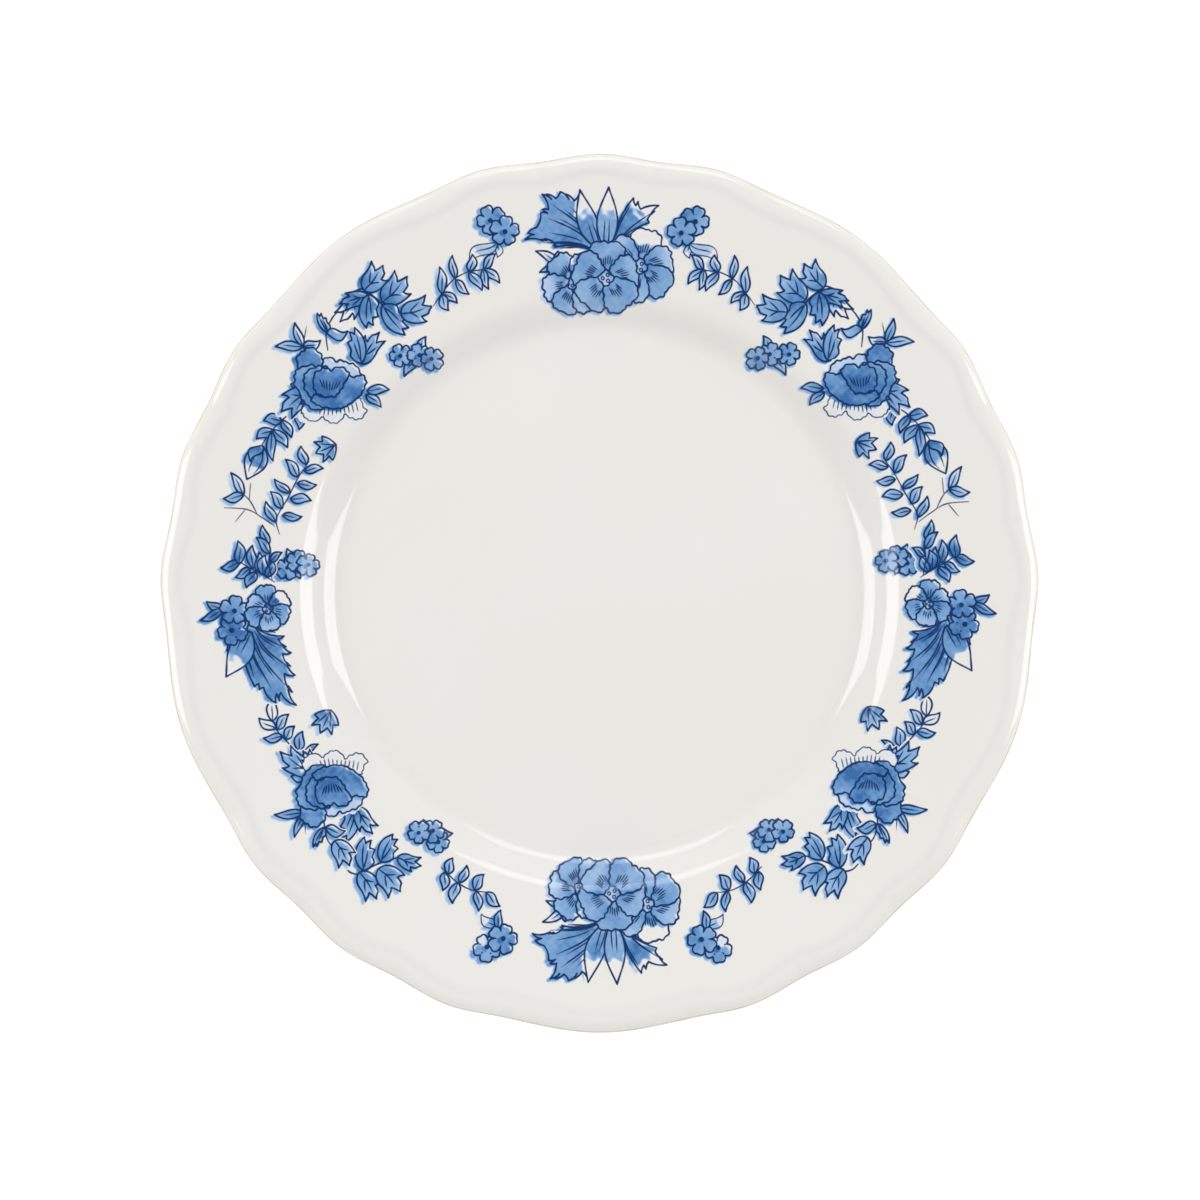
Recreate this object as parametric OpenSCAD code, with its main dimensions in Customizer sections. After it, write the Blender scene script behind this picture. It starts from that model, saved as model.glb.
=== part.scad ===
// A scalloped porcelain dinner plate: a white body on a foot ring, its glaze, a thin
// band round the edge, and one ceramic transfer film for each spray of the rim's flowers.

/* [Plate] */
// Distance across the plate, over its lobes
plate_d = 271.4; // [240:0.2:300]
// Thickness of the wall, with its glaze
wall_t = 4.4; // [3.4:0.1:5.5]
// Height of the well's floor above the table
floor_z = 6.8; // [6:0.1:9]

/* [Well] */
// Radius of the flat floor
well_r = 80; // [70:1:84]
// Radius of the cove between the floor and the wall of the well
cove_r = 9; // [5:0.5:12]
// Slope of the well's wall, in degrees
wall_angle = 38; // [25:1:45]
// Length of the wall between its two curves
wall_len = 5; // [2:0.5:8]

/* [Rim] */
// Radius of the shoulder where the wall turns out into the rim
shoulder_r = 10; // [8:0.5:14]
// Slope of the rim, in degrees
rim_angle = 13; // [5:1:20]
// Width of the lip that is rolled over at the edge
lip_w = 3; // [2:0.1:5]
// How far the lip's two faces close in towards each other
lip_roll = 1.2; // [0.4:0.1:1.4]

/* [Scallops] */
// Number of repeats round the edge, each of three narrow lobes and a wide one
scallop_repeats = 5; // [4:1:6]
// Angle that a narrow lobe takes, in degrees
narrow_lobe = 15.7; // [13:0.1:17]
// Depth of the notch between two lobes
notch_depth = 1.25; // [0.8:0.05:2]

/* [Foot ring] */
// Radius of the middle of the foot ring
foot_r = 75; // [60:1:76]
// Width of the bare face that the plate stands on
foot_w = 3; // [2:0.5:5]
// How much wider the foot ring is on each side at its root
foot_draft = 1.4; // [0.5:0.1:2]

/* [Glaze] */
// Thickness of the clear glaze on each face
glaze_t = 0.3; // [0.2:0.05:0.5]
// Thickness of the warm band that edges the lip
band_t = 0.4; // [0.3:0.05:0.6]

/* [Decoration] */
// Thickness of a transfer film
film_t = 0.25; // [0.2:0.05:0.4]
// Width of a stem
stem_w = 1; // [0.8:0.1:1.6]
// Radius of a rose
rose_r = 10.5; // [8:0.5:12]
// Radius of a small flower
posy_r = 5; // [4:0.5:6]
// Radius of a bouquet's open flower
bloom_r = 9; // [7:0.5:10]

/* [Hidden] */
$fn = 64;
lobe_tip_r = plate_d / 2;
notch_r = lobe_tip_r - notch_depth;
wide_lobe = 360 / scallop_repeats - 3 * narrow_lobe;
curve_steps = 4;             // facets of each curve of the section
tall = 60;                   // higher than any part of the plate
print_shift = [-1.2, 2.1];   // the flowers were laid on a little off centre
left_shift = [1.3, 1.1];     // and the left half and the lower bouquet a little turned
left_turn = 1.5;
low_turn = 1.2;
cobalt = "#3f6db0";

// The section: a flat floor, a cove, a straight wall, a shoulder, a straight rim and a lip.
// depth is measured from the face into the wall, square to the face.
cove_mid = [well_r, floor_z + cove_r];
wall_foot = cove_mid + cove_r * [sin(wall_angle), -cos(wall_angle)];
wall_head = wall_foot + wall_len * [cos(wall_angle), sin(wall_angle)];
shoulder_mid = wall_head + shoulder_r * [sin(wall_angle), -cos(wall_angle)];

function cove(depth) = [for (k = [0:curve_steps])
    let (a = wall_angle * k / curve_steps)
    cove_mid + (cove_r + depth) * [sin(a), -cos(a)]];

function shoulder(depth) = [for (k = [0:curve_steps])
    let (a = wall_angle + (rim_angle - wall_angle) * k / curve_steps)
    shoulder_mid + (shoulder_r - depth) * [-sin(a), cos(a)]];

function rim_at(from, r) = [r, from[1] + (r - from[0]) * tan(rim_angle)];

function lip(depth) =
    let (from = shoulder(depth)[curve_steps], closing = lip_roll * (1 - 2 * depth / wall_t))
    [rim_at(from, lobe_tip_r - lip_w), rim_at(from, lobe_tip_r + 1) - [0, closing]];

function slope(depth) = concat(cove(depth), shoulder(depth), lip(depth));

function reversed(points) = [for (k = [len(points) - 1:-1:0]) points[k]];

// One layer of the section, from the axis out, between two depths
module layer(top, bottom) {
    polygon(concat([[0, floor_z - top]], slope(top), reversed(slope(bottom)), [[0, floor_z - bottom]]));
}

// The same layer without the floor of the well
module sloping_layer(top, bottom) {
    polygon(concat(slope(top), reversed(slope(bottom))));
}

module foot_section() {
    root_z = floor_z - wall_t + glaze_t;
    root_half = foot_w / 2 + foot_draft;
    polygon([[foot_r - foot_w / 2, 0], [foot_r + foot_w / 2, 0],
        [foot_r + root_half, root_z], [foot_r - root_half, root_z]]);
}

// One lobe of the edge: an arc through the lobe's tip and the two notches beside it
module lobe(at, angle, inset) {
    centre = (pow(lobe_tip_r, 2) - pow(notch_r, 2)) / (2 * (lobe_tip_r - notch_r * cos(angle / 2)));
    rotate(-at) translate([0, centre]) circle(r = lobe_tip_r - centre - inset);
}

module outline(inset = 0) {
    for (k = [0:scallop_repeats - 1]) rotate(360 * k / scallop_repeats) {
        for (side = [-1:1]) lobe(side * narrow_lobe, narrow_lobe, inset);
        lobe(180 / scallop_repeats, wide_lobe, inset);
    }
}

module cut_to_scallops(inset) {
    intersection() {
        rotate_extrude() children();
        linear_extrude(height = tall) outline(inset);
    }
}

module porcelain_body() {
    color("#f4f1ec") cut_to_scallops(band_t) {
        layer(glaze_t, wall_t - glaze_t);
        foot_section();
    }
}

module glaze_face() {
    color("#ffffff") cut_to_scallops(band_t) layer(0, glaze_t);
}

module glaze_back() {
    color("#fbfaf7") cut_to_scallops(band_t) difference() {
        layer(wall_t - glaze_t, wall_t);
        foot_section();
    }
}

module edge_band() {
    color("#d9c3a5") intersection() {
        rotate_extrude() intersection() {
            sloping_layer(0, wall_t);
            translate([lobe_tip_r - 6, 0]) square([10, tall]);
        }
        linear_extrude(height = tall) difference() {
            outline();
            outline(band_t);
        }
    }
}

// Outlines of the flowers and leaves. Each starts at its root and points along +Y.

module leaf(length, width) {
    arc_r = (length * length + width * width) / (4 * width);
    translate([0, length / 2]) intersection() {
        translate([arc_r - width / 2, 0]) circle(r = arc_r);
        translate([width / 2 - arc_r, 0]) circle(r = arc_r);
    }
}

// A stem with pairs of leaves and one at its end. Each leaf's root laps over the stem.
module sprig(length, pairs, leaf_l, leaf_w, lean = 50) {
    lap = 0.2 * leaf_l;
    translate([-stem_w / 2, 0]) square([stem_w, length]);
    for (k = [1:pairs], side = [-1, 1])
        translate([0, length * k / (pairs + 1)]) rotate(side * lean)
            translate([0, -lap]) leaf(leaf_l, leaf_w);
    translate([0, length - lap]) leaf(leaf_l, leaf_w);
}

module flower(r, petals = 5) {
    circle(r = 0.5 * r);
    for (k = [1:petals]) rotate(360 * k / petals) translate([0, 0.58 * r]) circle(r = 0.42 * r);
}

module fan(length, blades = 5, spread = 100) {
    for (k = [0:blades - 1]) rotate(spread * (k / (blades - 1) - 0.5)) leaf(length, 0.3 * length);
}

// Places a motif by its clock angle and its distance from the middle of the print
module clock(at, r, turn = 0) {
    rotate(-at) translate([0, r]) rotate(turn) children();
}

// A transfer film: outlines laid on the face of the rim
module film() {
    color(cobalt) intersection() {
        rotate_extrude() sloping_layer(-film_t, 0);
        linear_extrude(height = tall) translate(print_shift) children();
    }
}

module left() {
    translate(left_shift) rotate(left_turn) mirror([1, 0]) children();
}

module low() {
    mirror([0, 1]) children();
}

module bouquet() {
    clock(1.6, 105, 2) leaf(17.5, 8);
    clock(357.5, 104, 42) sprig(13, 2, 8, 4.5, 45);
    clock(3.7, 104, -34) leaf(16, 6);
    clock(0.7, 95) flower(bloom_r);
    clock(7.8, 101) flower(0.85 * bloom_r);
    clock(352, 97, 20) sprig(8, 1, 6, 3);
}

module crown() {
    clock(97, 94, -30) sprig(16, 2, 11, 6, 40);
    clock(92.6, 104.3) flower(0.85 * bloom_r);
    clock(94, 114) flower(0.8 * posy_r);
    clock(92.5, 112, 8) leaf(10, 4);
}

module side_sprig() {
    clock(86, 101.5, 8) sprig(12, 3, 6, 2.5);
}

module twigs() {
    clock(78, 102, 8) sprig(14, 2, 5, 2.4, 40);
    clock(70, 103, -80) sprig(9, 2, 4.5, 2.2);
}

module leaf_sprig() {
    clock(108, 105, -70) sprig(15, 2, 6.5, 3);
}

module bud_fern() {
    clock(61.5, 107, -62) sprig(12, 3, 6, 2.6);
    clock(69.6, 114.5) circle(r = 3);
}

module posy(fern_turn) {
    clock(-3.5, 116) flower(posy_r);
    clock(-0.5, 111) flower(posy_r);
    clock(0, 104, -10) leaf(8, 4);
    clock(1, 103, fern_turn) sprig(16, 3, 5.5, 2.4);
}

module branch() {
    clock(0, 98, 5) sprig(17, 2, 9, 5.5, 55);
    clock(6, 99, -5) fan(8, 2, 60);
}

module rose_spray() {
    clock(0, 101.5) flower(rose_r, 8);
    clock(-2, 111, 15) sprig(6, 1, 6, 3);
    clock(5.5, 105, -25) sprig(6, 1, 6, 3);
}

module inner_posy() {
    for (side = [-1, 1]) clock(3 * side, 93) flower(0.9 * posy_r);
    clock(0, 88, 0) flower(0.7 * posy_r);
    clock(0, 93, 0) leaf(7, 3.5);
}

module fan_leaf() {
    clock(0, 89) fan(12);
}

// The sprays of one half of the rim, each at its clock angle

module posy_upper() { rotate(-17.5) posy(-108); }
module posy_lower() { low() rotate(-21) posy(-105); }
module branch_upper() { rotate(-34.5) branch(); }
module branch_lower() { low() rotate(-37.5) branch(); }
module rose_upper() { rotate(-51.8) rose_spray(); }
module rose_lower() { low() rotate(-53) rose_spray(); }
module inner_posy_upper() { rotate(-36.5) inner_posy(); }
module inner_posy_side() { rotate(-86) inner_posy(); }
module inner_posy_lower() { low() rotate(-35) inner_posy(); }
module fan_leaf_upper() { rotate(-64.4) fan_leaf(); }
module fan_leaf_lower() { low() rotate(-64.2) fan_leaf(); }

porcelain_body();
glaze_face();
glaze_back();
edge_band();
film() bouquet();  // bouquet_top
film() rotate(low_turn) low() bouquet();  // bouquet_bottom
film() crown();  // crown_right
film() left() crown();  // crown_left
film() side_sprig();  // side_sprig_right
film() left() side_sprig();  // side_sprig_left
film() twigs();  // twigs_right
film() left() twigs();  // twigs_left
film() leaf_sprig();  // leaf_sprig_right
film() left() leaf_sprig();  // leaf_sprig_left
film() bud_fern();  // bud_fern_right
film() left() bud_fern();  // bud_fern_left
film() posy_upper();  // posy_upper_right
film() left() posy_upper();  // posy_upper_left
film() posy_lower();  // posy_lower_right
film() left() posy_lower();  // posy_lower_left
film() branch_upper();  // branch_upper_right
film() left() branch_upper();  // branch_upper_left
film() branch_lower();  // branch_lower_right
film() left() branch_lower();  // branch_lower_left
film() rose_upper();  // rose_upper_right
film() left() rose_upper();  // rose_upper_left
film() rose_lower();  // rose_lower_right
film() left() rose_lower();  // rose_lower_left
film() inner_posy_upper();  // inner_posy_upper_right
film() left() inner_posy_upper();  // inner_posy_upper_left
film() inner_posy_side();  // inner_posy_side_right
film() left() inner_posy_side();  // inner_posy_side_left
film() inner_posy_lower();  // inner_posy_lower_right
film() left() inner_posy_lower();  // inner_posy_lower_left
film() fan_leaf_upper();  // fan_leaf_upper_right
film() left() fan_leaf_upper();  // fan_leaf_upper_left
film() fan_leaf_lower();  // fan_leaf_lower_right
film() left() fan_leaf_lower();  // fan_leaf_lower_left
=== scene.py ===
# A scalloped porcelain dinner plate with blue flower sprays: the looks, round the CAD frame
import math
import bmesh
import bpy
import numpy as np
from mathutils import Matrix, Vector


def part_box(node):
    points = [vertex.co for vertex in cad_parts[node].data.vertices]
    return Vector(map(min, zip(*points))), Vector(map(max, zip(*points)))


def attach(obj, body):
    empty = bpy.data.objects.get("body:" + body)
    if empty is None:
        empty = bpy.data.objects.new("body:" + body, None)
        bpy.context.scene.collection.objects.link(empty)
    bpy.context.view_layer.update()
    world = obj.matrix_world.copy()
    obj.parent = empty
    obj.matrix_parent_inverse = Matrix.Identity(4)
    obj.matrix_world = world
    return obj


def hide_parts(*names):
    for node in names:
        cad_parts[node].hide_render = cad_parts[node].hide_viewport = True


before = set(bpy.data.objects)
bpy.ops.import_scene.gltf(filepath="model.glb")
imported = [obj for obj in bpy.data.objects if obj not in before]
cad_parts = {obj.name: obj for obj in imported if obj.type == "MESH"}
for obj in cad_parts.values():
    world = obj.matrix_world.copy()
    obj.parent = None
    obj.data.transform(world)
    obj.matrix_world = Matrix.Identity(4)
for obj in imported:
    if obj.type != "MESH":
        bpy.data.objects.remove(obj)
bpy.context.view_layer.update()  # the CAD layers and films, in metres
mm = 0.001
tau = 2 * math.pi

# the plate's section in mm, the same rule as the CAD part: floor, cove, wall, shoulder, rim, lip
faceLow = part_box("glaze_face")[0]
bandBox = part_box("edge_band")
plate = {
    "tipRadius": (bandBox[1].y - bandBox[0].y) / 2 / mm,
    "floorHeight": faceLow.z / mm + 0.3,
    "wellRadius": 80.0,
    "coveRadius": 9.0,
    "wallAngle": math.radians(38),
    "wallLength": 5.0,
    "shoulderRadius": 10.0,
    "rimAngle": math.radians(13),
    "thickness": 4.4,
    "lipThickness": 3.1,  # just inside the edge
    "lipNose": 1.5,       # how far in from the edge the rounding starts
    "footRadius": 75.0,
    "footWidth": 3.0,
    "footDraft": 1.4,
    "glaze": 0.3,
    "turns": 720,         # steps round the plate
}
# the scalloped edge: three narrow lobes and a wide one, five times round
scallop = {
    "repeat": 72.0,       # degrees
    "narrow": 15.7,
    "wide": 24.9,
    "notch": 1.25,        # depth of the edge's notches
    "wideRise": 0.15,     # a wide lobe stands this much further out
    "ridgeIn": 5.4,       # the moulded line lies this far inside a lobe's tip
    "ridgeNotch": 2.6,    # depth of that line's notches
    "ridgeStep": 0.12,    # rise across the line
    "rollOver": 0.52,     # how steeply the face has turned over at the edge
    "rollWithin": 0.8,    # share of the way from the line to the edge over which it turns
    "crease": 0.07,       # depth of the sharp creases between narrow lobes
    "creaseWidth": 2.4,
    "dip": 0.12,          # depth of the soft dips beside a wide lobe
    "dipWidth": 4.5,
}
# how the flowers were laid on, in mm and degrees: the middle of the print, then the flip, the turn
# and the shift of each mirrored part
printLay = {
    "middle": (-1.2, 2.1),
    "left": ((-1, 1), 1.5, (1.3, 1.1)),
    "low": ((1, -1), 1.2, (0, 0)),
}


def hexToLinear(code):
    channels = [int(code[i:i + 2], 16) / 255 for i in (1, 3, 5)]
    return [c / 12.92 if c <= 0.04045 else ((c + 0.055) / 1.055) ** 2.4 for c in channels] + [1.0]


def addNode(tree, kind, inputs=None, **settings):
    node = tree.nodes.new(kind)
    for name, value in settings.items():
        setattr(node, name, value)
    for name, value in (inputs or {}).items():
        if isinstance(value, bpy.types.NodeSocket):
            tree.links.new(value, node.inputs[name])
        else:
            node.inputs[name].default_value = value
    return node


def setRamp(ramp, stops):
    elements = ramp.color_ramp.elements
    while len(elements) < len(stops):
        elements.new(0.5)
    for element, (place, code) in zip(elements, stops):
        element.position = place
        element.color = hexToLinear(code)


def startMaterial(name):
    material = bpy.data.materials.new(name)
    material.use_nodes = True
    tree = material.node_tree
    tree.nodes.clear()
    return material, tree, addNode(tree, "ShaderNodeTexCoord").outputs["Object"]


def smooth(low, high, value):  # from 0 to 1, easing in and out
    t = np.clip((value - low) / (high - low), 0, 1)
    return t * t * (3 - 2 * t)


# ---- camera, floor and light
studio = {
    "lens": 150.0,          # mm
    "sensor": 36.0,
    "frameWidth": 370.0,    # mm across the view at the plate's lip
    "aside": (0.15, -2.2),  # mm that the camera stands off the plate's middle
    "boxPlace": (1.22, 0.05, 1.1),  # metres, the right soft box; the left one mirrors it
    "boxSize": (0.8, 1.3),
    "boxPower": 11.4,
    "backPlace": (0.0, 1.2, 1.3),
    "backSize": (1.2, 0.7),
    "backPower": 5.9,
    "overhead": "#7d7d7d",  # the room above the camera, a dim ceiling
    "around": "#ffffff",    # and its pale walls
    "ambient": 0.8,
    "floorBase": "#9a9a9a",
    "floorGlow": 0.86,
    "floorSize": 3.0,       # metres from its middle to each side
}


def addStudio():
    camera = bpy.data.objects.new("camera", bpy.data.cameras.new("camera"))
    camera.data.lens = studio["lens"]
    camera.data.sensor_width = studio["sensor"]
    distance = studio["frameWidth"] / studio["sensor"] * studio["lens"] + bandBox[1].z / mm
    camera.location = (studio["aside"][0] * mm, studio["aside"][1] * mm, distance * mm)
    bpy.context.scene.collection.objects.link(camera)
    bpy.context.scene.camera = camera
    bpy.context.scene.view_settings.view_transform = "Standard"

    world = bpy.data.worlds.new("paleRoom")
    bpy.context.scene.world = world
    world.use_nodes = True
    room = world.node_tree
    background = room.nodes["Background"]
    background.inputs["Strength"].default_value = studio["ambient"]
    way = addNode(room, "ShaderNodeTexCoord").outputs["Generated"]
    up = addNode(room, "ShaderNodeSeparateXYZ", {"Vector": way}).outputs["Z"]
    walls = addNode(room, "ShaderNodeValToRGB", {"Fac": up})
    setRamp(walls, [(0.25, studio["around"]), (0.85, studio["overhead"])])
    room.links.new(walls.outputs["Color"], background.inputs["Color"])

    x, y, z = studio["boxPlace"]
    boxes = {
        "softBoxRight": ((x, y, z), studio["boxSize"], studio["boxPower"]),
        "softBoxLeft": ((-x, y, z), studio["boxSize"], studio["boxPower"]),
        "softBoxBack": (studio["backPlace"], studio["backSize"], studio["backPower"]),
    }
    for name, (place, size, power) in boxes.items():
        lamp = bpy.data.lights.new(name, "AREA")
        lamp.shape = "RECTANGLE"
        lamp.size, lamp.size_y = size
        lamp.energy = power
        box = bpy.data.objects.new(name, lamp)
        box.location = place
        box.rotation_euler = box.location.to_track_quat("Z", "Y").to_euler()  # faces the plate
        bpy.context.scene.collection.objects.link(box)

    # White acrylic lit from below, so the plate throws no hard shadow
    material, tree, _ = startMaterial("litAcrylicTable")
    shader = addNode(tree, "ShaderNodeBsdfPrincipled", {
        "Base Color": hexToLinear(studio["floorBase"]), "Roughness": 0.9,
        "Emission Color": hexToLinear("#ffffff"), "Emission Strength": studio["floorGlow"]})
    addNode(tree, "ShaderNodeOutputMaterial", {"Surface": shader.outputs["BSDF"]})
    shape = bmesh.new()
    bmesh.ops.create_grid(shape, x_segments=1, y_segments=1, size=studio["floorSize"])
    mesh = bpy.data.meshes.new("floor")
    shape.to_mesh(mesh)
    shape.free()
    mesh.materials.append(material)
    floor = bpy.data.objects.new("floor", mesh)
    bpy.context.scene.collection.objects.link(floor)


addStudio()
print("studio ready")


# ---- the plate's shape
def sectionCurve(depth, steps=24):  # the face's curve, or one this deep in the wall, outwards
    wall, rim = plate["wallAngle"], plate["rimAngle"]
    coveMid = np.array([plate["wellRadius"], plate["floorHeight"] + plate["coveRadius"]])
    square = np.array([math.sin(wall), -math.cos(wall)])
    wallFoot = coveMid + plate["coveRadius"] * square
    wallHead = wallFoot + plate["wallLength"] * np.array([math.cos(wall), math.sin(wall)])
    shoulderMid = wallHead + plate["shoulderRadius"] * square
    cove = [coveMid + (plate["coveRadius"] + depth) * np.array([math.sin(a), -math.cos(a)])
            for a in np.linspace(0, wall, steps)]
    shoulder = [shoulderMid + (plate["shoulderRadius"] - depth) * np.array([-math.sin(a), math.cos(a)])
                for a in np.linspace(wall, rim, steps)]
    reach = plate["tipRadius"] + 5
    edge = [reach, shoulder[-1][1] + (reach - shoulder[-1][0]) * math.tan(rim)]
    return np.array([[0, plate["floorHeight"] - depth]] + cove + shoulder + [edge])


faceCurve = sectionCurve(0)
backCurve = sectionCurve(plate["thickness"])


def faceHeight(radius):
    return np.interp(radius, faceCurve[:, 0], faceCurve[:, 1])


def backHeight(radius):  # the wall thins towards the lip
    thinning = (plate["thickness"] - plate["lipThickness"]) * smooth(104, plate["tipRadius"], radius)
    return np.interp(radius, backCurve[:, 0], backCurve[:, 1]) + thinning


def lobeAt(angle):  # place in the lobe from -1 to 1, whether it is wide, whether that side is sharp
    half, wideHalf = scallop["narrow"] / 2, scallop["wide"] / 2
    halves = np.array([half, half, wideHalf, half, half])
    turn = np.mod(angle + half, scallop["repeat"]) - half
    ends = np.cumsum(2 * halves) - half
    which = np.digitize(turn, ends[:-1])
    wide = which == 2
    across = (turn - (ends - halves)[which]) / halves[which]
    sharp = (which == 0) | (which == 4) | ((which == 1) & (across < 0)) | ((which == 3) & (across > 0))
    return across, wide, sharp


def edgeRadius(angle):
    across, wide, _ = lobeAt(angle)
    depth = scallop["notch"] + np.where(wide, scallop["wideRise"], 0)
    return plate["tipRadius"] - scallop["notch"] + depth * (0.5 + 0.5 * np.cos(np.pi * across))


def ridgeRadius(angle):  # the moulded line inside the edge, with a sharp V between two narrow lobes
    across, _, sharp = lobeAt(angle)
    soft = 0.5 - 0.5 * np.cos(np.pi * across)
    pointed = 0.5 * soft + 0.5 * np.abs(across) ** 1.7
    notch = scallop["ridgeNotch"] * np.where(sharp, pointed, soft)
    return plate["tipRadius"] - scallop["ridgeIn"] - notch


def reliefHeight(angle, radius):  # what the mould adds to the plain section
    across, wide, sharp = lobeAt(angle)
    halfWidth = np.radians(np.where(wide, scallop["wide"], scallop["narrow"]) / 2)
    away = (1 - np.abs(across)) * halfWidth * radius  # mm to the nearest notch
    crease = scallop["crease"] * np.exp(-away / scallop["creaseWidth"]) * smooth(108, 131, radius)
    dip = scallop["dip"] * np.exp(-(away / scallop["dipWidth"]) ** 2) * smooth(112, 133, radius)
    past = radius - ridgeRadius(angle)
    step = scallop["ridgeStep"] * smooth(-1.2, 1.2, past)
    share = np.clip(past / np.maximum(edgeRadius(angle) - ridgeRadius(angle), 1), 0, 1)
    within = scallop["rollWithin"]
    turned = np.minimum(share / within, 1)
    drop = within * (turned ** 3 - 0.5 * turned ** 4) + np.maximum(share - within, 0)
    bend = scallop["rollOver"] * scallop["ridgeIn"] * drop
    return step - bend - np.where(sharp, crease, dip)


def surfaceHeight(x, y):  # the face's height in mm over a point of the plan, relief included
    radius = np.hypot(x, y)
    return faceHeight(radius) + reliefHeight(np.degrees(np.arctan2(x, y)), radius)


def shapeScallops(points):  # moves the points of a plain turned form out and in with the lobes
    x, y, z = points.T
    radius = np.hypot(x, y)
    angle = np.degrees(np.arctan2(x, y))
    height = np.maximum(faceHeight(radius) - backHeight(radius), 0.1)
    towardFace = np.clip((z - backHeight(radius)) / height, 0, 1)
    moved = radius + (edgeRadius(angle) - plate["tipRadius"]) * smooth(112, 134, radius)
    lift = faceHeight(moved) - faceHeight(radius)
    scale = np.where(radius > 0.001, moved / np.maximum(radius, 0.001), 1)
    relief = reliefHeight(angle, moved) * towardFace
    return np.column_stack([x * scale, y * scale, z + np.where(radius > 100, lift, 0) + relief])


def offsetPath(path, depth):  # the same path this far to its right
    path = np.array(path)
    along = np.gradient(path, axis=0)
    along /= np.maximum(np.hypot(along[:, 0], along[:, 1]), 1e-9)[:, None]
    inward = np.column_stack([along[:, 1], -along[:, 0]])
    inward[path[:, 0] < 0.001] = (0, np.sign(inward[0, 1]) if inward[0, 1] else -1)
    return path + inward * depth


def addPiece(name, mesh, material, node):
    mesh.materials.clear()
    mesh.materials.append(material)
    piece = bpy.data.objects.new(name, mesh)
    bpy.context.scene.collection.objects.link(piece)
    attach(piece, "root")
    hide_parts(node)
    return piece


def turnSection(name, sections, steps):  # spins closed sections, in mm, a fifth of a turn at a time
    shape = bmesh.new()
    fifth = tau / 5
    for section in sections:
        corners = [shape.verts.new((r, 0, z)) for r, z in section]
        onAxis = section[0][0] < 0.001
        pairs = zip(corners, corners[1:] if onAxis else corners[1:] + corners[:1])
        sides = [shape.edges.new(pair) for pair in pairs]
        bmesh.ops.spin(shape, geom=corners + sides, cent=(0, 0, 0), axis=(0, 0, 1), dvec=(0, 0, 0),
                       angle=fifth, steps=steps // 5, use_merge=False, use_duplicate=False)
    wedge = shape.verts[:] + shape.edges[:] + shape.faces[:]
    for k in range(1, 5):
        copy = bmesh.ops.duplicate(shape, geom=wedge)["geom"]
        bmesh.ops.rotate(shape, verts=[v for v in copy if isinstance(v, bmesh.types.BMVert)],
                         cent=(0, 0, 0), matrix=Matrix.Rotation(k * fifth, 3, "Z"))
    bmesh.ops.remove_doubles(shape, verts=shape.verts, dist=0.0005)
    bmesh.ops.recalc_face_normals(shape, faces=shape.faces)
    mesh = bpy.data.meshes.new(name)
    shape.to_mesh(mesh)
    shape.free()
    return mesh


def pointsOf(mesh):
    points = np.zeros(len(mesh.vertices) * 3)
    mesh.vertices.foreach_get("co", points)
    return points.reshape(-1, 3)


def finishMesh(mesh, sharpAngle, reshape=None):  # reshapes a mesh drawn in mm, then takes it to metres
    points = pointsOf(mesh)
    if reshape:
        points = reshape(points)
    mesh.vertices.foreach_set("co", (points * mm).ravel())
    mesh.shade_smooth()
    mesh.set_sharp_from_angle(angle=math.radians(sharpAngle))
    mesh.update()


# ---- materials of the body and the glaze
porcelainIOR = 1.5
glazeLook = {
    "white": "#f0eeea",       # warm white body seen through the glaze
    "whiteAside": "#eeebe6",  # where the glaze lies a little thicker
    "pooled": "#eae8e4",      # painted shade along the moulded line and at the notches
    "poolWidth": 1.5,         # mm either side of the line
    "seamWidth": 0.09,        # share of a lobe
    "seams": (0.5, 0.3),      # how strong the painted shade is at a sharp notch, and at a soft one
    "roughness": 0.22,
    "bodySheen": 0.1,         # the body under the glaze hardly mirrors
    "coatRoughness": 0.05,
    "waveSize": 14.0,         # mm, the slow waviness of poured glaze
    "waveDepth": 0.006,
    "peelSize": 1.6,          # mm, orange peel; real peel is finer and is drawn as coarse as it shows
    "peelDepth": 0.0007,
    "cloudSize": 70.0,        # mm, drift of the white's tint
}
inkLook = {
    "washes": [(0.0, "#f0eeea"), (0.22, "#c3d6ee"), (0.5, "#93b7e0"), (0.8, "#6594c9"),
               (1.0, "#3a6dab")],
    "line": "#003268",
    "bleed": 0.14,            # mm either side of a line's edge over which its cobalt fades
    "grainSize": 0.55,        # mm, the grain of the ground cobalt
    "grainDepth": 0.16,
    "poolSize": 5.0,          # mm, where the wash pooled as it dried
    "poolDepth": 0.22,
}


def endMaterial(material, tree, inputs):
    shader = addNode(tree, "ShaderNodeBsdfPrincipled", {"IOR": porcelainIOR, **inputs})
    addNode(tree, "ShaderNodeOutputMaterial", {"Surface": shader.outputs["BSDF"]})
    return material


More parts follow.
